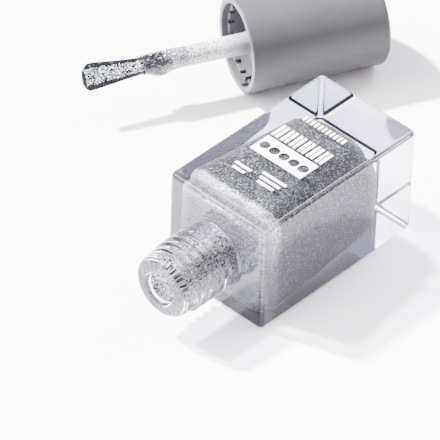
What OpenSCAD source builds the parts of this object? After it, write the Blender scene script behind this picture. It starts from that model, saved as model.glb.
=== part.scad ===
// Nail polish bottle of square glass, lying on its side and open, with its brush cap beside it.
// Millimetres. The bottle lies along X with its mouth towards +X, on the plane z = 0.
// The origin is the centre of the side face that the bottle lies on.

/* [Bottle] */
// Width of the square glass body, on both sides
body_w = 25; // [24:0.5:28]
// Length of the glass body, from its base to the shoulder
body_len = 43; // [40:1:50]
// Radius on the outer edges of the glass
edge_r = 1.2; // [0.6:0.1:2]
// Thickness of the side walls at the shoulder
wall_t = 1.5; // [1.4:0.1:2]
// Thickness of the side walls where the rounded floor of the cavity begins
wall_low_t = 2.9; // [2.2:0.1:3.4]
// Thickness of the glass base
base_t = 8; // [6:0.1:11]

/* [Neck] */
// Height of the neck above the shoulder
neck_len = 15.2; // [14.5:0.1:16.5]
// Radius of the neck between the threads
neck_r = 6.55; // [6.4:0.05:6.6]
// Radius over the crest of the thread
thread_r = 7.15; // [7.05:0.05:7.25]
// Rise of the thread in one turn
pitch = 2.12; // [2.06:0.02:2.3]
// Radius of the bore through the neck
bore_r = 3.2; // [3.1:0.05:3.4]

/* [Cap] */
// Radius of the outer shell of the cap
cap_r = 10; // [9.8:0.1:10.5]
// Length of the outer shell of the cap
cap_len = 29.7; // [28:0.1:34]
// Wall thickness of the outer shell
cap_wall = 1.45; // [1.2:0.05:1.5]
// How far the inner cap is set back from the rim
recess = 1.2; // [0.8:0.1:1.4]
// Number of notches round the rim of the inner cap
notches = 16; // [8:1:20]

/* [Brush] */
// Length of stem and bristles beyond the rim of the cap
brush_reach = 33.2; // [30:0.1:33.4]
// Length of the bristles outside the stem
tuft_len = 13.6; // [10:0.1:15]
// Radius of the stem at the cap
stem_r = 2.3; // [2.2:0.05:2.4]
// Radius of the stem at the bristles
stem_tip_r = 2; // [1.9:0.05:2.1]
// Width of the flared tuft near its tip
tuft_w = 5.6; // [4:0.1:5.8]
// Turn of the flat tuft about the axis of the brush
tuft_roll = 140; // [90:5:180]

/* [Where the cap lies] */
// Where the middle of the cap's rim lies along the bottle
cap_x = -29.5; // [-35:0.5:-25]
// Where the middle of the cap's rim lies across the bottle
cap_y = -42.3; // [-50:0.1:-40]
// Direction from the cap's rim to its closed end, from the X axis
cap_turn = 154.4; // [150:0.1:160]

/* [Hidden] */

$fn = 72;
eps = 0.01;

// Bottle
axis_z = body_w / 2;
shoulder_x = body_len / 2;
base_x = -body_len / 2;
cavity_half = body_w / 2 - wall_t;
cavity_low_half = body_w / 2 - wall_low_t;
cavity_x = base_x + base_t;
cavity_top_x = shoulder_x - 2.6;
dome_r = 5.5;
shoulder_round = 3;
cavity_corner = 1.5;
cavity_low_corner = 2.4;
funnel_r = 6;
lip_r = 1.3;
thread_low = 2.2;
thread_turns = 4.6;
thread_root_w = 1.3;
thread_crest_w = 0.5;
ridge_sink = 0.3;
ring_steps = 30;

// Polish
brush_room_r = bore_r + 0.2;
polish_gap = 0.03;

// Print on the front face
print_t = 0.12;
band_x = 2.85;
band_l = 5.1;
band_w = 13.1;
dot_r = 1.15;
dot_pitch = 2.5;

// Cap: distances along its axis, from the rim towards the closed end
seat_gap = 1.5;
cap_bore_r = cap_r - cap_wall;
fit_gap = 0.08;
inner_r = cap_bore_r - fit_gap;
cap_floor = 1.5;
cap_edge_r = 1;
rim_edge_r = 0.3;
nut_r = thread_r + 0.25;
nut_crest_r = neck_r + 0.25;
lip_gap = 0.05;
liner_t = 0.8;
liner_low = recess + neck_len - seat_gap + lip_gap;
deck_low = liner_low + liner_t + lip_gap;
deck_t = 1.7;
inner_top = cap_len - cap_floor - 0.6;
inner_hollow_r = inner_r - 1.3;
notch_w = 1.15;
notch_deep = 0.6;
notch_long = 1.2;

// Brush: distances along its axis, from the rim of the cap towards the closed end
stem_low = tuft_len - brush_reach;
stem_straight = recess + 6;
head_r = 3.6;
head_t = 1.2;
liner_hole_r = stem_r + 0.1;
socket_r = 1.45;
socket_len = 5;
root_r = 1.4;
root_len = 3.6;
staple_l = 2.4;
staple_t = 0.4;
flex_r = 1.2;
flex_gap = 0.15;
flex_low = stem_low - flex_gap - flex_r;
flex_len = tuft_len - flex_gap - flex_r;
tuft_root_w = 3.7;
tuft_tip_t = 1.1;
tuft_tip_r = tuft_w / 2 + 0.2;

// Thread of the inner cap: half a pitch from the neck's thread once the cap is home
tip_clear = 1;
travel = brush_reach + tip_clear + neck_len + recess - seat_gap;
neck_start = 40;
nut_low = 1.8;
nut_turns = 4;
nut_root_w = 1;
nut_crest_w = 0.4;
nut_start = neck_start + 180 + 360 * (nut_low + seat_gap - thread_low + travel) / pitch;

// Turns a solid that is built along Z so that it lies along X
module along_x() {
    rotate([0, 90, 0]) children();
}

// Puts a solid on the neck's axis, with its zero at the shoulder
module on_neck() {
    translate([shoulder_x, 0, axis_z]) along_x() children();
}

// Puts a solid in the cap as it lies, with its zero at the rim and +Z towards the closed end
module in_cap() {
    translate([cap_x, cap_y, cap_r]) rotate([0, 0, cap_turn]) along_x() children();
}

// Rectangle of length l and width w, with round corners of radius r, centred
module round_rect(l, w, r) {
    square([l - 2 * r, w], center = true);
    square([l, w - 2 * r], center = true);
    for (i = [-1, 1], j = [-1, 1])
        translate([i * (l / 2 - r), j * (w / 2 - r)]) circle(r);
}

// Block along X, w wide and high, with round edges of radius r
module round_block(l, w, r) {
    intersection() {
        rotate([0, 90, 0]) linear_extrude(l, center = true) round_rect(w, w, r);
        linear_extrude(w, center = true) round_rect(l, w, r);
        rotate([90, 0, 0]) linear_extrude(w, center = true) round_rect(l, w, r);
    }
}

// Outline of the cavity from x0 to x1: straight sides that draw in from half1 to half0,
// and the round end of radius dome_r at x0
module cavity_outline(x0, x1, half0, half1) {
    end_x = x0 + dome_r;
    intersection() {
        polygon([
            [end_x, -half0], [x1 - shoulder_round, -half1], [x1, shoulder_round - half1],
            [x1, half1 - shoulder_round], [x1 - shoulder_round, half1], [end_x, half0],
            [x0, half0], [x0, -half0]
        ]);
        union() {
            translate([end_x, -body_w / 2]) square([body_len, body_w]);
            translate([x0, dome_r - half0]) square([dome_r + eps, 2 * (half0 - dome_r)]);
            for (j = [-1, 1])
                translate([end_x, j * (half0 - dome_r)]) circle(dome_r);
        }
    }
}

// The room inside the glass body, drawn in by gap on every side. A cone blunts its four long edges
module cavity(gap) {
    x0 = cavity_x + gap;
    x1 = cavity_top_x - gap;
    half0 = cavity_low_half - gap;
    half1 = cavity_half - gap;
    translate([0, 0, axis_z]) intersection() {
        linear_extrude(body_w, center = true) cavity_outline(x0, x1, half0, half1);
        rotate([90, 0, 0]) linear_extrude(body_w, center = true) cavity_outline(x0, x1, half0, half1);
        translate([x0, 0, 0]) along_x() cylinder(h = x1 - x0,
            r1 = half0 * sqrt(2) - cavity_low_corner, r2 = half1 * sqrt(2) - cavity_corner);
    }
}

// One point ring of a thread's ridge: from the buried root over the crest and back
function ridge_ring(root_r, crest_r, root_w, crest_w, angle, z) = [
    for (q = [[root_r, -root_w / 2], [crest_r, -crest_w / 2], [crest_r, crest_w / 2], [root_r, root_w / 2]])
        [q[0] * cos(angle), q[0] * sin(angle), z + q[1]]
];

// Share of the full height of the ridge at turn t, fading out over the first and last fifth of a turn
function fade(t, turns) = max(0.02, min(1, 5 * t, 5 * (turns - t)));

// Ridge of a right-hand thread round Z. It starts at height z0 and the given angle
module thread(root_r, crest_r, root_w, crest_w, z0, start, turns) {
    steps = round(turns * ring_steps);
    sink = crest_r > root_r ? -ridge_sink : ridge_sink;
    rings = [
        for (i = [0:steps])
            let (t = turns * i / steps)
            let (top_r = root_r + (crest_r - root_r) * fade(t, turns))
            ridge_ring(root_r + sink, top_r, root_w, crest_w, start + 360 * t, z0 + pitch * t)
    ];
    outward = crest_r > root_r;
    faces = [
        for (i = [0:steps - 1], j = [0:3])
            let (a = 4 * i + j, b = 4 * i + (j + 1) % 4)
            outward ? [a, b, b + 4, a + 4] : [a + 4, b + 4, b, a]
    ];
    first = outward ? [3, 2, 1, 0] : [0, 1, 2, 3];
    last = [for (j = first) 4 * steps + 3 - j];
    polyhedron([for (ring = rings) each ring], concat(faces, [first, last]), convexity = 8);
}

module glass_bottle() {
    color([0.86, 0.9, 0.93, 0.4]) difference() {
        union() {
            translate([0, 0, axis_z]) round_block(body_len, body_w, edge_r);
            on_neck() neck_solid();
            on_neck() thread(neck_r, thread_r, thread_root_w, thread_crest_w,
                thread_low, neck_start, thread_turns);
        }
        cavity(0);
        translate([cavity_top_x - 1.5, 0, axis_z]) along_x()
            cylinder(h = funnel_r - bore_r, r1 = funnel_r, r2 = bore_r);
        translate([cavity_top_x - 1, 0, axis_z]) along_x()
            cylinder(h = shoulder_x - cavity_top_x + neck_len + 2, r = bore_r);
    }
}

// The neck without its thread: a round tube's outside with a rounded lip
module neck_solid() {
    translate([0, 0, -edge_r]) cylinder(h = neck_len + edge_r - lip_r, r = neck_r);
    translate([0, 0, neck_len - lip_r]) rotate_extrude() {
        square([neck_r - lip_r, lip_r]);
        translate([neck_r - lip_r, 0]) circle(lip_r);
    }
}

module polish() {
    color([0.62, 0.62, 0.66]) difference() {
        cavity(polish_gap);
        translate([cavity_x + 0.6, 0, axis_z]) along_x() cylinder(h = body_len, r = brush_room_r);
        translate([cavity_top_x - 1.5, 0, axis_z]) along_x()
            cylinder(h = 3, r = funnel_r);
    }
}

// A bar of ink on the front face: centre, then length along the bottle, then width across it
module ink(x, y, l, w) {
    translate([x - l / 2, y - w / 2, body_w]) cube([l, w, print_t]);
}

module front_print() {
    color("white") {
        difference() {
            ink(band_x, 0, band_l, band_w);
            for (i = [-2:2])
                translate([band_x, i * dot_pitch, body_w - 1]) cylinder(h = 2, r = dot_r);
        }
        for (i = [-2.5:2.5], j = [-1, 1]) ink(-2.3, 2.25 * i + 0.5 * j, 3.7, 0.6);
        for (i = [-5:5]) ink(-8.6, i, 1.4, 0.5);
        for (i = [0:2]) ink(9 + 1.3 * i, 3.2, 0.6, 6 - i);
        for (i = [0:1]) ink(10.4 + 1.3 * i, -3.6, 0.6, 4 - i);
    }
}

module overcap() {
    color([0.64, 0.64, 0.66]) in_cap() rotate_extrude() difference() {
        union() {
            translate([0, rim_edge_r]) square([cap_r, cap_len - rim_edge_r - cap_edge_r]);
            square([cap_r - rim_edge_r, rim_edge_r + eps]);
            translate([cap_r - rim_edge_r, rim_edge_r]) circle(rim_edge_r);
            translate([0, cap_len - cap_edge_r - eps]) square([cap_r - cap_edge_r, cap_edge_r + eps]);
            translate([cap_r - cap_edge_r, cap_len - cap_edge_r]) circle(cap_edge_r);
        }
        translate([-1, -1]) square([cap_bore_r + 1, cap_len - cap_floor + 1]);
    }
}

module inner_cap() {
    color([0.72, 0.72, 0.74]) in_cap() {
        difference() {
            translate([0, 0, recess]) cylinder(h = inner_top - recess, r = inner_r);
            translate([0, 0, recess - 1]) cylinder(h = deck_low - recess + 1, r = nut_r);
            translate([0, 0, deck_low + deck_t]) cylinder(h = cap_len, r = inner_hollow_r);
            cylinder(h = cap_len, r = stem_r);
            for (i = [0:notches - 1])
                rotate([0, 0, 360 * i / notches])
                    translate([nut_r - 1, -notch_w / 2, 0])
                        cube([notch_deep + 1, notch_w, recess + notch_long]);
        }
        thread(nut_r, nut_crest_r, nut_root_w, nut_crest_w,
            recess + nut_low, nut_start, nut_turns);
    }
}

module seal_liner() {
    color([0.95, 0.95, 0.93]) in_cap() difference() {
        translate([0, 0, liner_low]) cylinder(h = liner_t, r = nut_r - 0.1);
        cylinder(h = cap_len, r = liner_hole_r);
    }
}

module brush_stem() {
    color([0.93, 0.93, 0.94]) in_cap() difference() {
        union() {
            translate([0, 0, stem_low])
                cylinder(h = stem_straight - stem_low, r1 = stem_tip_r, r2 = stem_r);
            translate([0, 0, stem_straight])
                cylinder(h = deck_low + deck_t - stem_straight, r = stem_r);
            translate([0, 0, deck_low + deck_t]) cylinder(h = head_t, r = head_r);
        }
        translate([0, 0, stem_low - 1]) cylinder(h = socket_len + 1, r = socket_r);
    }
}

// Plate across the socket of the stem
module staple_plate() {
    translate([-socket_r * 0.85, -staple_t / 2, stem_low + root_len - staple_l + 0.3])
        cube([socket_r * 1.7, staple_t, staple_l]);
}

module staple() {
    color([0.8, 0.68, 0.4]) in_cap() rotate([0, 0, tuft_roll]) staple_plate();
}

module tuft_root() {
    color([0.2, 0.22, 0.28]) in_cap() rotate([0, 0, tuft_roll]) difference() {
        translate([0, 0, stem_low + 0.2]) cylinder(h = root_len, r = root_r);
        staple_plate();
    }
}

// Outline of the tuft seen on its flat side, from the flexing root at zero to the round tip
module tuft_flat_side() {
    intersection() {
        polygon([
            [-tuft_root_w / 2, 0], [-tuft_w / 2, flex_len], [tuft_w / 2, flex_len], [tuft_root_w / 2, 0]
        ]);
        translate([0, flex_len - tuft_tip_r]) {
            circle(tuft_tip_r);
            translate([-tuft_w, -flex_len]) square([2 * tuft_w, flex_len]);
        }
    }
}

// Outline of the tuft seen on its thin side, a wedge that grows out of its round root
module tuft_thin_side() {
    root_half = flex_r - 0.06;
    polygon([
        [-root_half, 0], [-tuft_tip_t / 2, flex_len], [tuft_tip_t / 2, flex_len], [root_half, 0]
    ]);
}

module bristle_tuft() {
    color([0.55, 0.56, 0.6]) in_cap() rotate([0, 0, tuft_roll])
        translate([0, 0, flex_low]) mirror([0, 0, 1]) {
            intersection() {
                rotate([90, 0, 0]) linear_extrude(3 * flex_r, center = true) tuft_flat_side();
                rotate([90, 0, 90]) linear_extrude(2 * tuft_w, center = true) tuft_thin_side();
            }
            rotate([0, 90, 0]) cylinder(h = tuft_root_w, r = flex_r, center = true);
        }
}

glass_bottle();
polish();
front_print();
overcap();
inner_cap();
seal_liner();
brush_stem();
staple();
tuft_root();
bristle_tuft();
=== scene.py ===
"""Square glass nail polish bottle lying open on its side, with its brush cap beside it."""

import math
import random

import bmesh
import bpy
from mathutils import Matrix, Vector


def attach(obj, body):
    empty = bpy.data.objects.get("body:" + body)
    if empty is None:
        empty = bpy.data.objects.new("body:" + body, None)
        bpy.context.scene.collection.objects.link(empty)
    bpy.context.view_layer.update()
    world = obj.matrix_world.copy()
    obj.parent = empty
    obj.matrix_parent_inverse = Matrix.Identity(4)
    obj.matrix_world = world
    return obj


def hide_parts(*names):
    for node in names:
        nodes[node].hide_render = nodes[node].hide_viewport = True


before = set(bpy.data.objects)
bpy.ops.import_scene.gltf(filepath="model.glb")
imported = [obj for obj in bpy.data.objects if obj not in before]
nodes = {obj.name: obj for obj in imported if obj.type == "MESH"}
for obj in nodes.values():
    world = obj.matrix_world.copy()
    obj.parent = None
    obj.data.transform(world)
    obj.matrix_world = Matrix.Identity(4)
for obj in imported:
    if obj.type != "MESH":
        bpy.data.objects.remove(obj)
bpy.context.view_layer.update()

MM = 0.001

# Glass, in millimetres: the bottle lies along X and its axis is AXIS_Z above the table
HALF = 12.5
AXIS_Z = 12.5
BASE_X = -21.5
SHOULDER_X = 21.5
LIP_X = 36.7
EDGE_R = 1.2
NECK_R = 6.55
THREAD_R = 7.15
BORE_R = 3.2
PITCH = 2.12
THREAD_LOW = 2.2
THREAD_TURNS = 4.6
THREAD_START = 40.0
CAVITY_HALF = 11.0
CAVITY_LOW_HALF = 9.6
CAVITY_X = -13.5
CAVITY_TOP_X = 18.9
CAVITY_SIDE_R = 3.4
CAVITY_LOW_SIDE_R = 5.8
DOME_R = 5.5
CAVITY_SHOULDER_R = 3.2
MOUTH_R = 4.5
BORE_END_X = 20.4
LIP_ROUND = 1.3
LIP_BORE_ROUND = 0.8
NECK_FILLET = 0.8
MENISCUS_DROP = 1.25
WET_OVERLAP = 0.05

# Cap: where the middle of its rim lies, and the direction of its closed end
RIM = Vector((-29.5, -42.3, 10.0))
CAP_TURN = math.radians(154.4)
CAP_R = 10.0
CAP_LEN = 29.7
CAP_BORE_R = 8.55
CAP_FLOOR = 1.5
RECESS = 1.2
INNER_R = 8.47
NUT_R = 7.4
NUT_CREST_R = 6.8
NOTCHES = 16
NOTCH_W = 1.15
NOTCH_DEEP = 0.6
NOTCH_LONG = 1.2
DECK_LOW = 15.8
DECK_TOP = 17.5
INNER_TOP = 27.6

# Brush, along the cap's axis: zero at the rim, negative towards the bristles
STEM_END = -19.6
STEM_R = 2.3
STEM_TIP_R = 2.0
TAPER_TOP = 7.2
SOCKET_R = 1.45
SOCKET_TOP = STEM_END + 5.0
FLEX_S = -20.95
TUFT_END = -33.2
TUFT_ROLL = math.radians(140)
TUFT_TOP = 0.6
BRISTLES = 190
BRISTLE_R = 0.07
FILM_START = -0.12
FILM_LEN = 9.5
DROP_S = 3.0
DROP_SPREAD = 1.9
DROP_DEEP = 1.15


def smooth(x):
    """Runs from 0 to 1 as x does, with no slope at either end."""
    x = max(0.0, min(1.0, x))
    return x * x * (3 - 2 * x)


def piece(name, points, faces, body, nodes_replaced, material, sharp=40):
    """Makes a mesh piece from points in millimetres and attaches it to a CAD body."""
    mesh = bpy.data.meshes.new(name)
    mesh.from_pydata([tuple(c * MM for c in p) for p in points], [], faces)
    bm = bmesh.new()
    bm.from_mesh(mesh)
    bmesh.ops.remove_doubles(bm, verts=bm.verts, dist=1e-7)
    bmesh.ops.recalc_face_normals(bm, faces=bm.faces)
    bm.to_mesh(mesh)
    bm.free()
    mesh.shade_smooth()
    mesh.set_sharp_from_angle(angle=math.radians(sharp))
    obj = bpy.data.objects.new(name, mesh)
    bpy.context.scene.collection.objects.link(obj)
    obj.data.materials.append(material)
    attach(obj, body)
    if nodes_replaced:
        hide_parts(*nodes_replaced)
    return obj


def skin(rings, closed=False):
    """Points and quads between rings of equal length. An open row of rings ends in fans."""
    n = len(rings[0])
    points = [p for ring in rings for p in ring]
    faces = []
    rows = len(rings) if closed else len(rings) - 1
    for i in range(rows):
        a, b = i * n, (i + 1) % len(rings) * n
        for j in range(n):
            k = (j + 1) % n
            faces.append((a + j, a + k, b + k, b + j))
    if not closed:
        for ring, first in ((rings[0], 0), (rings[-1], (len(rings) - 1) * n)):
            centre = sum((Vector(p) for p in ring), Vector()) / n
            points.append(tuple(centre))
            c = len(points) - 1
            for j in range(n):
                faces.append((first + j, first + (j + 1) % n, c))
    return points, faces


# ---------------------------------------------------------------- glass and polish

FLAT_STEPS = 22
ARC_STEPS = 10
RING = 4 * (FLAT_STEPS + ARC_STEPS)


def section(half, corner):
    """Square with round corners, as RING points of the plane across the bottle."""
    flat = half - corner
    tight = min(0.5, 0.06 / max(flat, 0.1))
    inner = [-1 + tight + (2 - 2 * tight) * i / (FLAT_STEPS - 2) for i in range(FLAT_STEPS - 1)]
    side = [(half, flat * t) for t in [-1] + inner]
    for i in range(ARC_STEPS):
        a = math.pi / 2 * i / ARC_STEPS
        side.append((flat + corner * math.cos(a), flat + corner * math.sin(a)))
    points = []
    for k in range(4):
        c, s = round(math.cos(k * math.pi / 2)), round(math.sin(k * math.pi / 2))
        points += [(c * a - s * b, s * a + c * b) for a, b in side]
    return points


def turn_of(i):
    return math.radians(-45) + 2 * math.pi * i / RING


def circle(r):
    """Circle as RING points. r is a number or a function of the angle in degrees."""
    points = []
    for i in range(RING):
        a = turn_of(i)
        radius = r(math.degrees(a)) if callable(r) else r
        points.append((radius * math.cos(a), radius * math.sin(a)))
    return points


def station(x, outline):
    return [(x, b, AXIS_Z - a) for a, b in outline]


def thread_height(angle, s):
    """Share of the full ridge at an angle round the neck and a height above the shoulder."""
    best = 0.0
    for lap in range(-1, 6):
        t = (angle - THREAD_START) / 360 + lap
        if 0 <= t <= THREAD_TURNS:
            d = abs(s - THREAD_LOW - PITCH * t)
            ends = smooth(min(t, THREAD_TURNS - t) * 5)
            best = max(best, ends * smooth((0.70 - d) / 0.52))
    return best


def neck_radius(s):
    return lambda angle: NECK_R + (THREAD_R - NECK_R) * thread_height(angle, s)


def outer_rings():
    rings = [station(BASE_X, section(3.0, 0.3))]
    flat = HALF - EDGE_R
    rings.append(station(BASE_X, section(flat - 0.06, 0.05)))
    steps = 8
    for i in range(steps + 1):
        a = math.pi / 2 * i / steps
        r = max(0.02, EDGE_R * math.sin(a))
        x = BASE_X + EDGE_R * (1 - math.cos(a))
        rings.append(station(x, section(flat + EDGE_R * math.sin(a), r)))
    low, high = BASE_X + EDGE_R + 0.06, SHOULDER_X - EDGE_R - 0.06
    for i in range(13):
        rings.append(station(low + (high - low) * i / 12, section(HALF, EDGE_R)))
    for i in range(steps + 1):
        a = math.pi / 2 * (1 - i / steps)
        r = max(0.02, EDGE_R * math.sin(a))
        x = SHOULDER_X - EDGE_R * (1 - math.cos(a))
        rings.append(station(x, section(flat + EDGE_R * math.sin(a), r)))
    rings.append(station(SHOULDER_X, section(flat - 0.06, 0.05)))
    rings.append(station(SHOULDER_X, circle(NECK_R + NECK_FILLET + 0.05)))
    for i in range(7):
        a = math.pi / 2 * i / 6
        r = NECK_R + NECK_FILLET * (1 - math.sin(a))
        rings.append(station(SHOULDER_X + NECK_FILLET * (1 - math.cos(a)), circle(r)))
    top = LIP_X - SHOULDER_X - LIP_ROUND
    neck_steps = 160
    for i in range(1, neck_steps + 1):
        s = NECK_FILLET + (top - NECK_FILLET) * i / neck_steps
        rings.append(station(SHOULDER_X + s, circle(neck_radius(s))))
    for i in range(1, 9):
        a = math.pi / 2 * i / 8
        x = LIP_X - LIP_ROUND + LIP_ROUND * math.sin(a)
        rings.append(station(x, circle(NECK_R - LIP_ROUND * (1 - math.cos(a)))))
    return rings


def inner_rings(grow, to_mouth):
    """Rings of the cavity from its mouth to its closed end, pushed outwards by grow."""
    rings = []
    bore = BORE_R + grow
    for i in range(to_mouth):
        x = BORE_END_X + (LIP_X - 1.0 - BORE_END_X) * (1 - i / to_mouth)
        rings.append(station(x, circle(bore)))
    rise = BORE_END_X - CAVITY_TOP_X
    for i in range(9):
        a = math.pi / 2 * i / 8
        r = bore + (MOUTH_R + 0.3 - BORE_R) * (1 - math.cos(a))
        rings.append(station(BORE_END_X - (rise - grow) * math.sin(a), circle(r)))
    half = CAVITY_HALF + grow
    low_half = CAVITY_LOW_HALF + grow
    top = CAVITY_TOP_X + grow
    rs = CAVITY_SHOULDER_R
    rings.append(station(top, section(half - rs - 0.06, CAVITY_SIDE_R - rs)))
    for i in range(9):
        a = math.pi / 2 * i / 8
        shrink = rs * (1 - math.sin(a))
        x = top - rs * (1 - math.cos(a))
        rings.append(station(x, section(half - shrink, CAVITY_SIDE_R - shrink)))
    low, high = CAVITY_X - grow + DOME_R, top - rs - 0.06
    for i in range(13):
        t = i / 12
        side = half + (low_half - half) * t
        corner = CAVITY_SIDE_R + (CAVITY_LOW_SIDE_R - CAVITY_SIDE_R) * t
        rings.append(station(high + (low + 0.06 - high) * t, section(side, corner)))
    for i in range(15):
        a = math.pi / 2 * i / 14
        shrink = DOME_R * (1 - math.cos(a))
        corner = CAVITY_LOW_SIDE_R - 0.5 * shrink
        rings.append(station(low - DOME_R * math.sin(a), section(low_half - shrink, corner)))
    corner = CAVITY_LOW_SIDE_R - 0.5 * DOME_R - 0.04
    rings.append(station(low - DOME_R, section(low_half - DOME_R - 0.08, corner)))
    return rings


def lip_rings():
    """The inner rounding of the lip, down into the bore."""
    r = LIP_BORE_ROUND
    rings = [station(LIP_X, circle(BORE_R + r + 0.03))]
    for i in range(7):
        a = math.pi / 2 * i / 6
        x = LIP_X - r * (1 - math.cos(a))
        rings.append(station(x, circle(BORE_R + r * (1 - math.sin(a)))))
    return rings


def make_bottle(material):
    rings = outer_rings() + lip_rings() + inner_rings(0.0, 24)
    points, faces = skin(rings)
    return piece(
        "bottle_glass", points, faces, "bottle", ["glass_bottle"], material, 50,
    )


def make_polish(material):
    surface = []
    for r in (0.6, 1.6, 2.5, 3.0):
        surface.append(station(LIP_X - MENISCUS_DROP + 0.03 * r * r, circle(r)))
    surface.append(station(LIP_X - 0.9, circle(BORE_R + WET_OVERLAP)))
    rings = surface + inner_rings(WET_OVERLAP, 10)
    points, faces = skin(rings)
    return piece(
        "glitter_polish", points, faces, "bottle", ["polish"], material, 50,
    )


# ---------------------------------------------------------------- cap and brush

def in_cap(a, b, s):
    """A point of the cap: a, b across its axis, s along it from the rim to the closed end."""
    c, d = math.cos(CAP_TURN), math.sin(CAP_TURN)
    return (RIM.x + s * c - b * d, RIM.y + s * d + b * c, RIM.z - a)


def arc(r0, s0, radius, start, end, steps=6):
    """Profile points (r, s) of an arc round (r0, s0), with angles in degrees."""
    points = []
    for i in range(steps + 1):
        a = math.radians(start + (end - start) * i / steps)
        points.append((r0 + radius * math.cos(a), s0 + radius * math.sin(a)))
    return points


def revolve(profile, steps=144):
    """Rings of a profile of (r, s) points turned round the cap's axis."""
    rings = []
    for r, s in profile:
        ring = []
        for j in range(steps):
            a = 2 * math.pi * j / steps
            ring.append(in_cap(r * math.cos(a), r * math.sin(a), s))
        rings.append(ring)
    return rings


def make_overcap(material):
    edge, rim = 1.0, 0.3
    back = CAP_LEN - CAP_FLOOR
    profile = [(1.0, CAP_LEN), (CAP_R - edge - 0.1, CAP_LEN)]
    profile += arc(CAP_R - edge, CAP_LEN - edge, edge, 90, 0, 8)
    profile += [(CAP_R, CAP_LEN - edge - 0.1)]
    profile += [(CAP_R, s) for s in (22, 15, 8, 1.5, rim + 0.1)]
    profile += arc(CAP_R - rim, rim, rim, 0, -90, 5)
    profile += arc(CAP_BORE_R + 0.2, 0.2, 0.2, -90, -180, 4)
    profile += [(CAP_BORE_R, 1.0), (CAP_BORE_R, 12), (CAP_BORE_R, back - 0.1), (CAP_BORE_R, back)]
    profile += [(CAP_BORE_R - 0.1, back), (1.0, back)]
    points, faces = skin(revolve(profile, 192))
    return piece("cap_shell", points, faces, "overcap", ["overcap"], material)


def notch_angles():
    """Angles round the rim, with whether each is in a notch. Notch edges come twice."""
    half = math.degrees(NOTCH_W / 2 / (NUT_R + 0.5))
    step = 360 / NOTCHES
    angles = []
    for i in range(NOTCHES):
        c = i * step
        angles += [(c + half * share, True) for share in (-1, -0.5, 0, 0.5, 1)]
        wall = step - 2 * half
        angles += [(c + half + 0.15 + (wall - 0.3) * j / 6, False) for j in range(7)]
    return angles


def make_inner_cap(material):
    angles = notch_angles()
    chamfer = 0.12

    def ring(r, s, in_notch=None):
        out = []
        for angle, notched in angles:
            a = math.radians(angle)
            height = s if in_notch is None or not notched else in_notch
            out.append(in_cap(r * math.cos(a), r * math.sin(a), height))
        return out

    low = RECESS
    floor = RECESS + NOTCH_LONG
    outer = [
        ring(INNER_R, low + chamfer),
        ring(INNER_R - chamfer, low),
        ring(NUT_R + NOTCH_DEEP + 0.03, low),
        ring(NUT_R + NOTCH_DEEP, low, floor),
        ring(NUT_R + chamfer, low, floor),
        ring(NUT_R, low + chamfer, floor),
        ring(NUT_R, floor + 0.3),
        ring(NUT_R, DECK_LOW - 0.1),
        ring(NUT_R, DECK_LOW),
        ring(NUT_R - 0.1, DECK_LOW),
        ring(STEM_R, DECK_LOW),
        ring(STEM_R, DECK_TOP),
        ring(INNER_R - 1.4, DECK_TOP),
        ring(INNER_R - 1.3, DECK_TOP),
        ring(INNER_R - 1.3, DECK_TOP + 0.1),
        ring(INNER_R - 1.3, INNER_TOP - 0.1),
        ring(INNER_R - 1.2, INNER_TOP),
        ring(INNER_R - 0.1, INNER_TOP),
        ring(INNER_R, INNER_TOP - 0.1),
        ring(INNER_R, 14.0),
        ring(INNER_R, low + 0.6),
    ]
    points, faces = skin(outer, closed=True)
    first = len(points)
    more, ridge = nut_thread()
    points += more
    faces += [tuple(first + i for i in f) for f in ridge]
    return piece(
        "inner_closure", points, faces, "closure", ["inner_cap"], material, 35,
    )


def nut_thread():
    """The ridge of the closure's internal thread, a round-topped bar along a helix."""
    turns, low = 4.0, RECESS + 1.8
    travel = -TUFT_END + 1.0 + LIP_X - SHOULDER_X + RECESS - 1.5
    start = THREAD_START + 180 + 360 * (1.8 + 1.5 - THREAD_LOW + travel) / PITCH
    steps = int(turns * 48)
    rings = []
    for i in range(steps + 1):
        t = turns * i / steps
        a = math.radians(start + 360 * t)
        high = (NUT_R - NUT_CREST_R) * max(0.03, smooth(min(t, turns - t) * 5))
        ring = []
        for r, w in (
            (0.15, -0.55), (0.15, 0.55),
            (-0.5 * high, 0.35), (-0.9 * high, 0.2), (-high, 0.07),
            (-high, -0.07), (-0.9 * high, -0.2), (-0.5 * high, -0.35),
        ):
            radius = NUT_R + r
            ring.append(in_cap(radius * math.cos(a), radius * math.sin(a), low + PITCH * t + w))
        rings.append(ring)
    return skin(rings)


def make_stem(material):
    profile = [(SOCKET_R, SOCKET_TOP), (SOCKET_R, STEM_END + 0.1)]
    profile += arc(SOCKET_R + 0.1, STEM_END + 0.1, 0.1, 180, 270, 3)
    profile += arc(STEM_TIP_R - 0.25, STEM_END + 0.25, 0.25, -90, 0, 5)
    steps = 14
    for i in range(1, steps + 1):
        s = STEM_END + 0.25 + (TAPER_TOP - STEM_END - 0.25) * i / steps
        profile.append((STEM_TIP_R + (STEM_R - STEM_TIP_R) * i / steps, s))
    head = [
        (STEM_R, -0.05), (STEM_R, 0), (STEM_R + 0.05, 0), (3.5, 0),
        (3.6, 0.1), (3.6, 1.0), (3.4, 1.2), (1.0, 1.2),
    ]
    profile += [(r, DECK_TOP + s) for r, s in head]
    points, faces = skin(revolve(profile, 72))
    return piece("stem", points, faces, "closure", ["brush_stem"], material)


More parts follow.
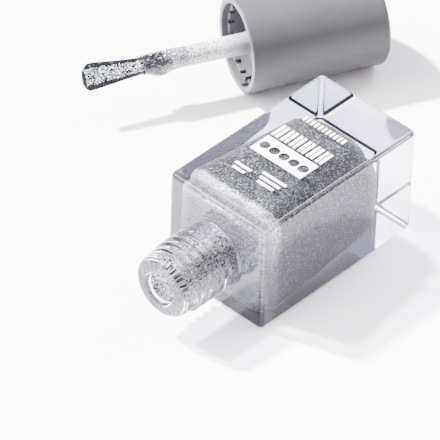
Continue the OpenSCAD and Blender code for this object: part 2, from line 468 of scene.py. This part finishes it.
def make_wet_film(material):
    """Polish clinging to the end of the stem, with the drop that gathers on its underside."""
    steps, around = 40, 72
    collar = [
        (1.0, FILM_START), (1.86, FILM_START), (1.9, -0.4),
        (1.94, -0.58), (1.98, -0.58), (2.0, -0.4),
    ]
    rings = revolve([(r, STEM_END + s) for r, s in collar], around)
    for i in range(steps + 1):
        t = i / steps
        s = STEM_END + FILM_START + t * FILM_LEN
        base = STEM_TIP_R + (STEM_R - STEM_TIP_R) * (s - STEM_END) / (TAPER_TOP - STEM_END)
        film = 0.10 * smooth(t * 14) * smooth((1 - t) * 4)
        lobe = DROP_DEEP * math.exp(-((s - (STEM_END + DROP_S)) / DROP_SPREAD) ** 2) * smooth(t * 8)
        ring = []
        for j in range(around):
            a = 2 * math.pi * j / around
            under = max(0.0, math.cos(a))
            r = base + film - 0.02 + lobe * under ** 1.6
            ring.append(in_cap(r * math.cos(a), r * math.sin(a), s))
        rings.append(ring)
    points, faces = skin(rings)
    return piece("wet_film", points, faces, "closure", [], material, 60)


def tuft_half_width(t):
    return 1.75 + 0.95 * smooth(t * 1.05)


def tuft_half_depth(t):
    return 1.2 - 0.65 * t


def in_tuft(w, d, s):
    """A point of the tuft: w along its width, d through its thickness, s along the brush."""
    c, n = math.cos(TUFT_ROLL), math.sin(TUFT_ROLL)
    return in_cap(w * c - d * n, w * n + d * c, s)


def tuft_tip(u):
    """How far the round tip falls short of the tuft's full length at u across its width."""
    return 1.6 * abs(u) ** 2.4 if u > 0 else 1.0 * abs(u) ** 4


def make_tuft(material):
    """A flared paddle of clumped bristles, with single bristles standing a little proud."""
    rng = random.Random(7)
    around, steps = 96, 60
    length = FLEX_S - TUFT_END
    ridges = [rng.uniform(0.3, 1.0) for _ in range(around)]
    rings = []
    reach = length + 0.3
    heights = [1.15, 1.0, 0.85, 0.7] + [TUFT_TOP - reach * i / steps for i in range(steps + 1)]
    for above in heights:
        t = max(0.0, (TUFT_TOP - above) / reach)
        clear = 9.0 if above < 0.2 else (1.18 - 0.94 * above) / 0.342
        ring = []
        for j in range(around):
            a = 2 * math.pi * j / around
            u = math.copysign(abs(math.cos(a)) ** 0.8, math.cos(a))
            v = math.copysign(abs(math.sin(a)) ** 0.8, math.sin(a))
            groove = 0.06 * (ridges[j] if j % 2 else -ridges[j]) * smooth(t * 6)
            w = u * min(clear, tuft_half_width(t) + groove)
            d = v * min(clear, tuft_half_depth(t) + groove)
            short = tuft_tip(u) * smooth((t - 0.6) / 0.4)
            ring.append(in_tuft(w, d, FLEX_S + above + short))
        rings.append(ring)
    points, faces = skin(rings)
    for k in range(BRISTLES):
        u = rng.uniform(-0.97, 0.97)
        side = rng.choice((-1, 1))
        v = side * math.sqrt(max(0.0, 1 - abs(u) ** 2.5)) * rng.uniform(0.8, 1.0)
        first = len(points)
        end = 1.0 - rng.uniform(0, 0.05)
        strand = []
        for i in range(13):
            t = end * i / 12
            w = u * tuft_half_width(t) + 0.04 * math.sin(3 * t + k)
            d = v * tuft_half_depth(t) + 0.03 * side * math.sin(5 * t + 2 * k)
            s = FLEX_S + 0.3 - t * length + tuft_tip(u) * smooth((t - 0.6) / 0.4)
            r = BRISTLE_R * (1 - 0.5 * t ** 4)
            corners = [q * math.pi / 2.5 for q in range(5)]
            strand.append([in_tuft(w + r * math.cos(q), d + r * math.sin(q), s) for q in corners])
        more, extra = skin(strand)
        points += more
        faces += [tuple(first + i for i in f) for f in extra]
    return piece(
        "bristles", points, faces, "tuft", ["bristle_tuft"], material, 60,
    )


# ---------------------------------------------------------------- materials

GLITTER = 5200
GRAIN = 2600


def new_material(name):
    mat = bpy.data.materials.new(name)
    mat.use_nodes = True
    tree = mat.node_tree
    shader = tree.nodes["Principled BSDF"]
    return mat, tree, shader


def add(tree, kind, **values):
    node = tree.nodes.new(kind)
    for key, value in values.items():
        if key in node.inputs:
            node.inputs[key].default_value = value
        else:
            setattr(node, key, value)
    return node


def place(tree):
    return add(tree, "ShaderNodeTexCoord").outputs["Object"]


def ramp(tree, source, stops):
    """Colour ramp of grey or colour stops (position, value)."""
    node = tree.nodes.new("ShaderNodeValToRGB")
    while len(node.color_ramp.elements) < len(stops):
        node.color_ramp.elements.new(0.5)
    for element, (position, value) in zip(node.color_ramp.elements, stops):
        element.position = position
        colour = value if isinstance(value, tuple) else (value, value, value)
        element.color = (*colour, 1)
    tree.links.new(source, node.inputs["Fac"])
    return node.outputs["Color"]


def noise(tree, scale, detail, at=None):
    node = add(tree, "ShaderNodeTexNoise", Scale=scale, Detail=detail)
    tree.links.new(place(tree) if at is None else at, node.inputs["Vector"])
    return node.outputs["Fac"]


def mix_colour(tree, factor, a, b):
    node = tree.nodes.new("ShaderNodeMix")
    node.data_type = "RGBA"
    for value, index in ((factor, 0), (a, 6), (b, 7)):
        socket = node.inputs[index]
        if isinstance(value, bpy.types.NodeSocket):
            tree.links.new(value, socket)
        elif isinstance(value, tuple):
            socket.default_value = (*value, 1)
        else:
            socket.default_value = value
    return node.outputs[2]


def multiply_colour(tree, a, b):
    product = mix_colour(tree, 1.0, a, b)
    product.node.blend_type = "MULTIPLY"
    return product


def bump(tree, shader, height, strength, distance):
    node = add(tree, "ShaderNodeBump", Strength=strength, Distance=distance)
    tree.links.new(height, node.inputs["Height"])
    tree.links.new(node.outputs["Normal"], shader.inputs["Normal"])


def flakes(tree, scale, tilt):
    """Random value per flake and a normal tipped at random for each flake."""
    cells = add(tree, "ShaderNodeTexVoronoi", Scale=scale)
    tree.links.new(place(tree), cells.inputs["Vector"])
    centred = add(tree, "ShaderNodeVectorMath", operation="SUBTRACT")
    centred.inputs[1].default_value = (0.5, 0.5, 0.5)
    tree.links.new(cells.outputs["Color"], centred.inputs[0])
    scaled = add(tree, "ShaderNodeVectorMath", operation="SCALE")
    scaled.inputs["Scale"].default_value = tilt
    tree.links.new(centred.outputs[0], scaled.inputs[0])
    plain = add(tree, "ShaderNodeNewGeometry")
    total = add(tree, "ShaderNodeVectorMath", operation="ADD")
    tree.links.new(scaled.outputs[0], total.inputs[0])
    tree.links.new(plain.outputs["Normal"], total.inputs[1])
    unit = add(tree, "ShaderNodeVectorMath", operation="NORMALIZE")
    tree.links.new(total.outputs[0], unit.inputs[0])
    parts = add(tree, "ShaderNodeSeparateColor")
    tree.links.new(cells.outputs["Color"], parts.inputs[0])
    return parts.outputs[0], unit.outputs[0]


def along_line(tree, start, end):
    """Runs from 0 at one point to 1 at another, in millimetres of the rest pose, and on beyond."""
    start, end = Vector(start) * MM, Vector(end) * MM
    shift = add(tree, "ShaderNodeVectorMath", operation="SUBTRACT")
    shift.inputs[1].default_value = start
    tree.links.new(place(tree), shift.inputs[0])
    dot = add(tree, "ShaderNodeVectorMath", operation="DOT_PRODUCT")
    dot.inputs[1].default_value = (end - start) / (end - start).length_squared
    tree.links.new(shift.outputs[0], dot.inputs[0])
    return dot.outputs["Value"]


def combine(tree, operation, a, b=None, c=None):
    """Math node on sockets or numbers."""
    node = add(tree, "ShaderNodeMath", operation=operation)
    for i, value in enumerate((a, b, c)):
        if isinstance(value, bpy.types.NodeSocket):
            tree.links.new(value, node.inputs[i])
        elif value is not None:
            node.inputs[i].default_value = value
    return node.outputs[0]


def squareness(tree):
    """1 on the flat faces of the bottle, less on its rounded edges."""
    normal = add(tree, "ShaderNodeNewGeometry").outputs["Normal"]
    sizes = add(tree, "ShaderNodeVectorMath", operation="ABSOLUTE")
    tree.links.new(normal, sizes.inputs[0])
    parts = add(tree, "ShaderNodeSeparateXYZ")
    tree.links.new(sizes.outputs[0], parts.inputs[0])
    across = combine(tree, "MAXIMUM", parts.outputs[0], parts.outputs[1])
    return combine(tree, "MAXIMUM", across, parts.outputs[2])


def edge_mask(tree):
    """1 on the rounded edges of the square body."""
    behind_shoulder = along_line(tree, (SHOULDER_X + 0.5, 0, 0), (SHOULDER_X, 0, 0))
    raised = along_line(tree, (0, 0, 1.4), (0, 0, 4))
    body = combine(
        tree, "MULTIPLY",
        ramp(tree, behind_shoulder, [(0.0, 0.0), (1.0, 1.0)]),
        ramp(tree, raised, [(0.0, 0.15), (1.0, 1.0)]),
    )
    rounded = ramp(tree, squareness(tree), [(0.985, 1.0), (0.999, 0.0)])
    return combine(tree, "MULTIPLY", body, rounded)


def painted_edge_lines(tree):
    """Painted highlight between two painted dark lines, for what a rounded edge of thick glass
    reflects and bends.
    """
    dark = (0.6, 0.59, 0.62)
    stops = [(0.76, (1.0, 1.0, 1.0)), (0.84, dark), (0.96, dark), (0.99, (0.85, 0.85, 0.87))]
    return ramp(tree, squareness(tree), stops)


def glass_material():
    """Clear glass, darker where seen edge-on, with painted shade in its base's foot and painted
    edge lines.
    """
    mat = bpy.data.materials.new("clear_glass")
    mat.use_nodes = True
    tree = mat.node_tree
    tree.nodes.remove(tree.nodes["Principled BSDF"])
    out = tree.nodes["Material Output"]
    glass = add(tree, "ShaderNodeBsdfGlass", IOR=1.52, Roughness=0.0)
    edge_on = add(tree, "ShaderNodeLayerWeight", Blend=0.5).outputs["Facing"]
    body = ramp(tree, edge_on, [
        (0.0, (0.868, 0.86, 0.902)), (0.58, (0.852, 0.844, 0.89)),
        (0.85, (0.64, 0.635, 0.68)), (1.0, (0.3, 0.3, 0.35)),
    ])
    # painted shade: the glass darkens towards the foot of its base, for the table's shadow seen
    # through it
    base = ramp(tree, along_line(tree, (-12.5, 0, 0), (-15, 0, 0)), [(0.0, 0.0), (1.0, 0.7)])
    foot = ramp(tree, along_line(tree, (0, 0, 7), (0, 0, 2)), [(0.0, 0.0), (0.6, 1.0)])
    body = mix_colour(tree, combine(tree, "MULTIPLY", base, foot), body, (0.66, 0.66, 0.70))
    # painted highlight and painted dark lines laid along the rounded edges of the body
    colour = mix_colour(tree, edge_mask(tree), body, painted_edge_lines(tree))
    tree.links.new(colour, glass.inputs["Color"])
    wave = add(tree, "ShaderNodeBump", Strength=0.05, Distance=0.0004)
    tree.links.new(noise(tree, 90, 1.0), wave.inputs["Height"])
    tree.links.new(wave.outputs["Normal"], glass.inputs["Normal"])
    clear = add(tree, "ShaderNodeBsdfTransparent")
    facing = add(tree, "ShaderNodeLayerWeight", Blend=0.35)
    shadow = [(0.0, (0.58, 0.59, 0.61)), (0.7, (0.46, 0.47, 0.5)), (1.0, 0.15)]
    tint = ramp(tree, facing.outputs["Facing"], shadow)
    tree.links.new(tint, clear.inputs["Color"])
    path = add(tree, "ShaderNodeLightPath")
    mixed = add(tree, "ShaderNodeMixShader")
    tree.links.new(path.outputs["Is Shadow Ray"], mixed.inputs[0])
    tree.links.new(glass.outputs[0], mixed.inputs[1])
    tree.links.new(clear.outputs[0], mixed.inputs[2])
    tree.links.new(mixed.outputs[0], out.inputs["Surface"])
    return mat


def streaks(tree):
    """Noise drawn out across the bottle."""
    stretch = add(tree, "ShaderNodeVectorMath", operation="MULTIPLY")
    stretch.inputs[1].default_value = (1.0, 0.06, 0.5)
    tree.links.new(place(tree), stretch.inputs[0])
    return noise(tree, 2200, 2.0, stretch.outputs[0])


def polish_material():
    """Lacquer crowded with silver glitter: calm in the body, with a painted highlight streaked
    along the upper edge of the shoulder, and coarser and sharper flakes from there to the mouth.
    Painted light makes it paler from the shoulder on, and painted shade darkens it towards
    the bottom and, on the shoulder and neck, towards the -Y side."""
    mat, tree, shader = new_material("glitter_polish")
    fine, fine_normal = flakes(tree, GLITTER, 0.65)
    coarse, _ = flakes(tree, 5600, 1.0)
    cloudy = noise(tree, 160, 3.0)
    ahead = along_line(tree, (15.6, 0, 0), (20.6, 0, 0))
    # painted highlight: a bright streaked strip along the upper edge of the shoulder
    painted_highlight = ramp(tree, ahead, [(0.0, 0.0), (0.3, 0.9), (0.45, 1.0), (0.66, 0.0)])
    for source, stops in (
        (along_line(tree, (0, 0, 14), (0, 0, 21)), [(0.0, 0.12), (1.0, 1.0)]),
        (streaks(tree), [(0.42, 0.2), (0.56, 1.0)]),
        (fine, [(0.2, 0.5), (0.7, 1.0)]),
    ):
        painted_highlight = combine(tree, "MULTIPLY", painted_highlight, ramp(tree, source, stops))
    # painted light: the polish body turns much paler from the shoulder to the mouth; the same mask
    # picks the shoulder's painted shade below
    painted_light_mask = ramp(tree, ahead, [(0.1, 0.0), (0.5, 1.0)])
    calm = ramp(tree, cloudy, [(0.3, (0.041, 0.040, 0.0415)), (0.7, (0.050, 0.049, 0.0505))])
    body = mix_colour(tree, painted_light_mask, calm, (0.178, 0.174, 0.2))
    body = mix_colour(tree, painted_highlight, body, (0.95, 0.96, 0.98))
    to_mouth = along_line(tree, (16, 0, 0), (35, 0, 0))
    mouth = ramp(tree, to_mouth, [(0.0, 0.0), (0.25, 0.55), (0.5, 0.8), (1.0, 1.0)])
    gaps = ramp(tree, fine, [(0.0, 0.7), (0.6, 0.0)])
    dark = mix_colour(tree, gaps, body, (0.014, 0.014, 0.016))
    glints = ramp(tree, coarse, [(0.82, 0.0), (0.89, 1.0)])
    bright = mix_colour(tree, glints, dark, (0.26, 0.26, 0.27))
    bold = ramp(tree, coarse, [(0.38, 0.006), (0.62, 0.08), (0.84, 0.62)])
    both = mix_colour(tree, mouth, bright, bold)
    # painted shade: the polish darkens towards the bottom, and on the shoulder and neck also
    # towards the -Y side
    height = along_line(tree, (0, 0, 1), (0, 0, 21))
    low = ramp(tree, height, [(0.0, (0.47, 0.46, 0.52)), (0.5, (0.69, 0.68, 0.75)), (0.85, 1.0)])
    front_stops = [(0.0, (0.26, 0.255, 0.3)), (0.4, (0.5, 0.49, 0.55)), (0.85, 1.0)]
    painted_shade_neck = ramp(tree, height, front_stops)
    painted_shade_side = along_line(tree, (0, -11, 0), (0, -4, 0))
    painted_shade_side = ramp(tree, painted_shade_side, [(0.0, (0.45, 0.44, 0.5)), (1.0, 1.0)])
    painted_shade_neck = multiply_colour(tree, painted_shade_neck, painted_shade_side)
    painted_shade = mix_colour(tree, painted_light_mask, low, painted_shade_neck)
    tree.links.new(multiply_colour(tree, both, painted_shade), shader.inputs["Base Color"])
    shader.inputs["Metallic"].default_value = 0.5
    shader.inputs["Roughness"].default_value = 0.36
    shader.inputs["Specular IOR Level"].default_value = 0.1
    tree.links.new(fine_normal, shader.inputs["Normal"])
    return mat


def film_material():
    """Wet polish on the stem, with a painted dark reflection next to the bristles, pale in the drop
    under it.
    """
    mat, tree, shader = new_material("wet_film")
    fine, fine_normal = flakes(tree, GLITTER, 0.9)
    along = along_line(tree, in_cap(0, 0, STEM_END), in_cap(0, 0, STEM_END + FILM_LEN))
    height = along_line(tree, in_cap(2.6, 0, STEM_END), in_cap(0.8, 0, STEM_END))
    rough = combine(tree, "MULTIPLY_ADD", noise(tree, 900, 2.0), 0.5, along)
    # painted dark reflection next to the bristles, fading on the drop's underside
    near = combine(
        tree, "MULTIPLY",
        ramp(tree, rough, [(0.55, 1.0), (0.85, 0.0)]),
        ramp(tree, height, [(0.0, 0.25), (0.6, 1.0)]),
    )
    end = combine(tree, "LESS_THAN", along, 0.003)
    dark_reflection = combine(tree, "MAXIMUM", near, end)
    base = mix_colour(tree, dark_reflection, (0.08, 0.085, 0.11), (0.002, 0.003, 0.008))
    speck = combine(tree, "SUBTRACT", fine, combine(tree, "MULTIPLY_ADD", near, 0.30, end))
    glints = ramp(tree, speck, [(0.56, 0.0), (0.70, 1.0)])
    tint = mix_colour(tree, glints, base, (0.36, 0.36, 0.4))
    tree.links.new(tint, shader.inputs["Base Color"])
    shader.inputs["Metallic"].default_value = 0.35
    shader.inputs["Roughness"].default_value = 0.3
    shader.inputs["Coat Weight"].default_value = 0.4
    shader.inputs["Coat Roughness"].default_value = 0.05
    tree.links.new(fine_normal, shader.inputs["Normal"])
    return mat


def plastic_material(name, low, high, roughness, specular=0.5):
    """Moulded plastic: a slight drift of colour and a fine grain."""
    mat, tree, shader = new_material(name)
    drift = noise(tree, 120, 4.0)
    tree.links.new(ramp(tree, drift, [(0.3, low), (0.7, high)]), shader.inputs["Base Color"])
    sheen = noise(tree, 500, 2.0)
    rough = ramp(tree, sheen, [(0.3, roughness - 0.05), (0.7, roughness + 0.05)])
    tree.links.new(rough, shader.inputs["Roughness"])
    shader.inputs["Specular IOR Level"].default_value = specular
    bump(tree, shader, noise(tree, GRAIN, 2.0), 0.06, 0.00004)
    return mat


def cap_material():
    """Satin grey paint outside, the paler plastic of the moulding on the rim and inside."""
    mat, tree, shader = new_material("satin_grey")
    shift = add(tree, "ShaderNodeVectorMath", operation="SUBTRACT")
    shift.inputs[1].default_value = RIM * MM
    tree.links.new(place(tree), shift.inputs[0])
    cross = add(tree, "ShaderNodeVectorMath", operation="CROSS_PRODUCT")
    cross.inputs[1].default_value = (math.cos(CAP_TURN), math.sin(CAP_TURN), 0)
    tree.links.new(shift.outputs[0], cross.inputs[0])
    radius = add(tree, "ShaderNodeVectorMath", operation="LENGTH")
    tree.links.new(cross.outputs[0], radius.inputs[0])
    past_rim = combine(tree, "MULTIPLY_ADD", radius.outputs["Value"], 10000.0, -98.0)
    outside = ramp(tree, past_rim, [(0.0, 0.0), (0.5, 1.0)])
    drift = noise(tree, 120, 4.0)
    shell = ramp(tree, drift, [(0.3, (0.047, 0.0465, 0.0485)), (0.7, (0.051, 0.0505, 0.0525))])
    colour = mix_colour(tree, outside, (0.056, 0.054, 0.062), shell)
    tree.links.new(colour, shader.inputs["Base Color"])
    sheen = noise(tree, 500, 2.0)
    tree.links.new(ramp(tree, sheen, [(0.3, 0.31), (0.7, 0.37)]), shader.inputs["Roughness"])
    shader.inputs["Specular IOR Level"].default_value = 0.1
    bump(tree, shader, noise(tree, GRAIN, 2.0), 0.06, 0.00004)
    return mat


def stem_material():
    """Milky plastic with glitter sticking to it more and more towards the bristles, and painted
    shade into the cap.
    """
    mat, tree, shader = new_material("milky_plastic")
    along = along_line(tree, in_cap(0, 0, STEM_END), in_cap(0, 0, -1.5))
    value, _ = flakes(tree, 4600, 0.5)
    reach = combine(tree, "MULTIPLY_ADD", along, -0.75, value)
    speck = ramp(tree, reach, [(0.05, 0.0), (0.25, 1.0)])
    milky = [(0.3, (0.52, 0.52, 0.545)), (0.7, (0.60, 0.60, 0.625))]
    base = ramp(tree, noise(tree, 200, 2.0), milky)
    # painted shade: the stem darkens where it runs into the cap's shadow and inside the cap
    into_cap = along_line(tree, in_cap(0, 0, -4.0), in_cap(0, 0, 1.0))
    inside = ramp(tree, into_cap, [(0.0, 0.0), (1.0, 0.9)])
    base = mix_colour(tree, inside, base, (0.2, 0.19, 0.215))
    colour = mix_colour(tree, speck, base, (0.13, 0.13, 0.14))
    tree.links.new(colour, shader.inputs["Base Color"])
    shader.inputs["Roughness"].default_value = 0.22
    shader.inputs["Subsurface Weight"].default_value = 0.5
    shader.inputs["Subsurface Radius"].default_value = (0.003, 0.003, 0.0032)
    shader.inputs["Subsurface Scale"].default_value = 0.6
    bump(tree, shader, value, 0.15, 0.00005)
    return mat


def bristle_material():
    """Wet dark bristles crowded with silver flakes, fewer along the edges and the tip."""
    mat, tree, shader = new_material("coated_bristle")
    value, normal = flakes(tree, 5400, 1.1)
    along = along_line(tree, in_tuft(0, 0, FLEX_S), in_tuft(0, 0, TUFT_END))
    across = along_line(tree, in_tuft(0, 0, FLEX_S), in_tuft(1, 0, FLEX_S))
    width = combine(tree, "MULTIPLY_ADD", along, 0.95, 1.78)
    side = combine(tree, "ABSOLUTE", combine(tree, "DIVIDE", across, width))
    edge = combine(
        tree, "MAXIMUM",
        ramp(tree, side, [(0.56, 0.0), (0.80, 0.8)]),
        ramp(tree, along, [(0.91, 0.0), (0.97, 0.8)]),
    )
    speck = ramp(tree, combine(tree, "SUBTRACT", value, edge), [(0.50, 0.0), (0.58, 1.0)])
    colour = mix_colour(tree, speck, (0.002, 0.003, 0.007), (0.72, 0.74, 0.78))
    tree.links.new(colour, shader.inputs["Base Color"])
    tree.links.new(speck, shader.inputs["Metallic"])
    shader.inputs["Specular IOR Level"].default_value = 0.25
    shader.inputs["Roughness"].default_value = 0.3
    shader.inputs["Coat Weight"].default_value = 0.25
    shader.inputs["Coat Roughness"].default_value = 0.1
    tree.links.new(normal, shader.inputs["Normal"])
    return mat


def metal_material(name, colour, roughness):
    mat, tree, shader = new_material(name)
    tint = mix_colour(tree, noise(tree, 900, 3.0), colour, tuple(c * 0.7 for c in colour))
    tree.links.new(tint, shader.inputs["Base Color"])
    shader.inputs["Metallic"].default_value = 1.0
    shader.inputs["Roughness"].default_value = roughness
    bump(tree, shader, noise(tree, 4000, 2.0), 0.1, 0.00003)
    return mat


def paint(node, material):
    """Gives a CAD node a material of its own."""
    mesh = nodes[node].data
    mesh.materials.clear()
    mesh.materials.append(material)


make_bottle(glass_material())
make_polish(polish_material())
make_overcap(cap_material())
make_inner_cap(plastic_material(
    "pale_grey_plastic", (0.054, 0.052, 0.061), (0.060, 0.058, 0.067), 0.5, specular=0.2,
))
make_stem(stem_material())
make_wet_film(film_material())
make_tuft(bristle_material())
paint("front_print", plastic_material("white_ink", (0.9, 0.9, 0.9), (0.95, 0.95, 0.95), 0.5))
paint("seal_liner", plastic_material("liner_foam", (0.8, 0.8, 0.78), (0.86, 0.86, 0.84), 0.7))
paint("staple", metal_material("staple_wire", (0.75, 0.62, 0.38), 0.35))
paint("tuft_root", plastic_material("dark_bristle", (0.02, 0.025, 0.04), (0.05, 0.06, 0.08), 0.5))


# ---------------------------------------------------------------- floor, light and camera

def make_floor():
    mesh = bpy.data.meshes.new("table_top")
    size = 1.5
    corners = [(-size, -size, 0), (size, -size, 0), (size, size, 0), (-size, size, 0)]
    mesh.from_pydata(corners, [], [(0, 1, 2, 3)])
    floor = bpy.data.objects.new("table_top", mesh)
    floor.location.z = -0.00002
    bpy.context.scene.collection.objects.link(floor)
    mat, tree, shader = new_material("white_table")
    shader.inputs["Base Color"].default_value = (0.95, 0.95, 0.95, 1)
    shader.inputs["Roughness"].default_value = 0.7
    floor.data.materials.append(mat)


SKY = 9.5
KEY = 40.0
KEY_FROM = Vector((0.213, -0.620, 0.755))
DARK_SIDE = Vector((-0.62, -0.56, 0.55))
SOFTBOX = Vector((-0.57, 0.10, 0.80)).normalized()
FRONT = Vector((0.45, 0.75, 0.48)).normalized()
PANEL = Vector((0.65, -0.51, 0.56)).normalized()


def toward(tree, direction, aim, stops):
    """Colour ramp over how closely a direction of the world agrees with an aim."""
    dot = add(tree, "ShaderNodeVectorMath", operation="DOT_PRODUCT")
    dot.inputs[1].default_value = aim
    tree.links.new(direction, dot.inputs[0])
    return ramp(tree, dot.outputs["Value"], stops)


def make_light():
    world = bpy.data.worlds.new("studio")
    world.use_nodes = True
    tree = world.node_tree
    backdrop = tree.nodes["Background"]
    direction = add(tree, "ShaderNodeTexCoord").outputs["Generated"]
    parts = add(tree, "ShaderNodeSeparateXYZ")
    tree.links.new(direction, parts.inputs[0])
    sky = [(0.1, 0.03), (0.6, (0.7, 0.66, 0.69)), (0.92, (1.25, 1.17, 1.23))]
    shade = ramp(tree, parts.outputs["Z"], sky)
    for aim, stops in (
        (DARK_SIDE, [(0.45, 1.0), (0.72, (0.05, 0.06, 0.08))]),
        (FRONT, [(0.1, 1.0), (0.7, 0.2)]),
    ):
        shade = multiply_colour(tree, shade, toward(tree, direction, aim, stops))
    soft = toward(tree, direction, SOFTBOX, [(0.965, 0.0), (0.995, 1.0)])
    lit = mix_colour(tree, soft, shade, (2.6, 2.6, 2.7))
    wide = toward(tree, direction, PANEL, [(0.95, 0.0), (0.97, 1.0)])
    lit = mix_colour(tree, wide, lit, (1.8, 1.8, 1.9))
    tree.links.new(lit, backdrop.inputs["Color"])
    backdrop.inputs["Strength"].default_value = SKY
    bpy.context.scene.world = world
    data = bpy.data.lights.new("key", "SUN")
    data.energy = KEY
    data.angle = math.radians(4)
    lamp = bpy.data.objects.new("key", data)
    lamp.rotation_mode = "QUATERNION"
    lamp.rotation_quaternion = KEY_FROM.to_track_quat("Z", "Y")
    bpy.context.scene.collection.objects.link(lamp)


FOCAL_PX = 5112.9
PHOTO_PX = 440
SENSOR_MM = 36


def make_camera():
    azimuth, elevation, roll = math.radians(227.98), math.radians(40.71), math.radians(2.2)
    target = Vector((3.32, -15.42, 0)) * MM
    distance = 1.0
    forward = Vector((
        math.sin(azimuth) * math.cos(elevation),
        math.cos(azimuth) * math.cos(elevation),
        -math.sin(elevation),
    ))
    right = forward.cross(Vector((0, 0, 1))).normalized()
    up = right.cross(forward)
    right, up = (
        right * math.cos(roll) + up * math.sin(roll),
        up * math.cos(roll) - right * math.sin(roll),
    )
    data = bpy.data.cameras.new("camera")
    data.sensor_width = SENSOR_MM
    data.lens = SENSOR_MM * FOCAL_PX / PHOTO_PX
    data.clip_start, data.clip_end = 0.05, 10
    camera = bpy.data.objects.new("camera", data)
    turn = Matrix((right, up, -forward)).transposed().to_4x4()
    camera.matrix_world = Matrix.Translation(target - forward * distance) @ turn
    bpy.context.scene.collection.objects.link(camera)
    bpy.context.scene.camera = camera


make_floor()
make_light()
make_camera()

bpy.context.view_layer.update()
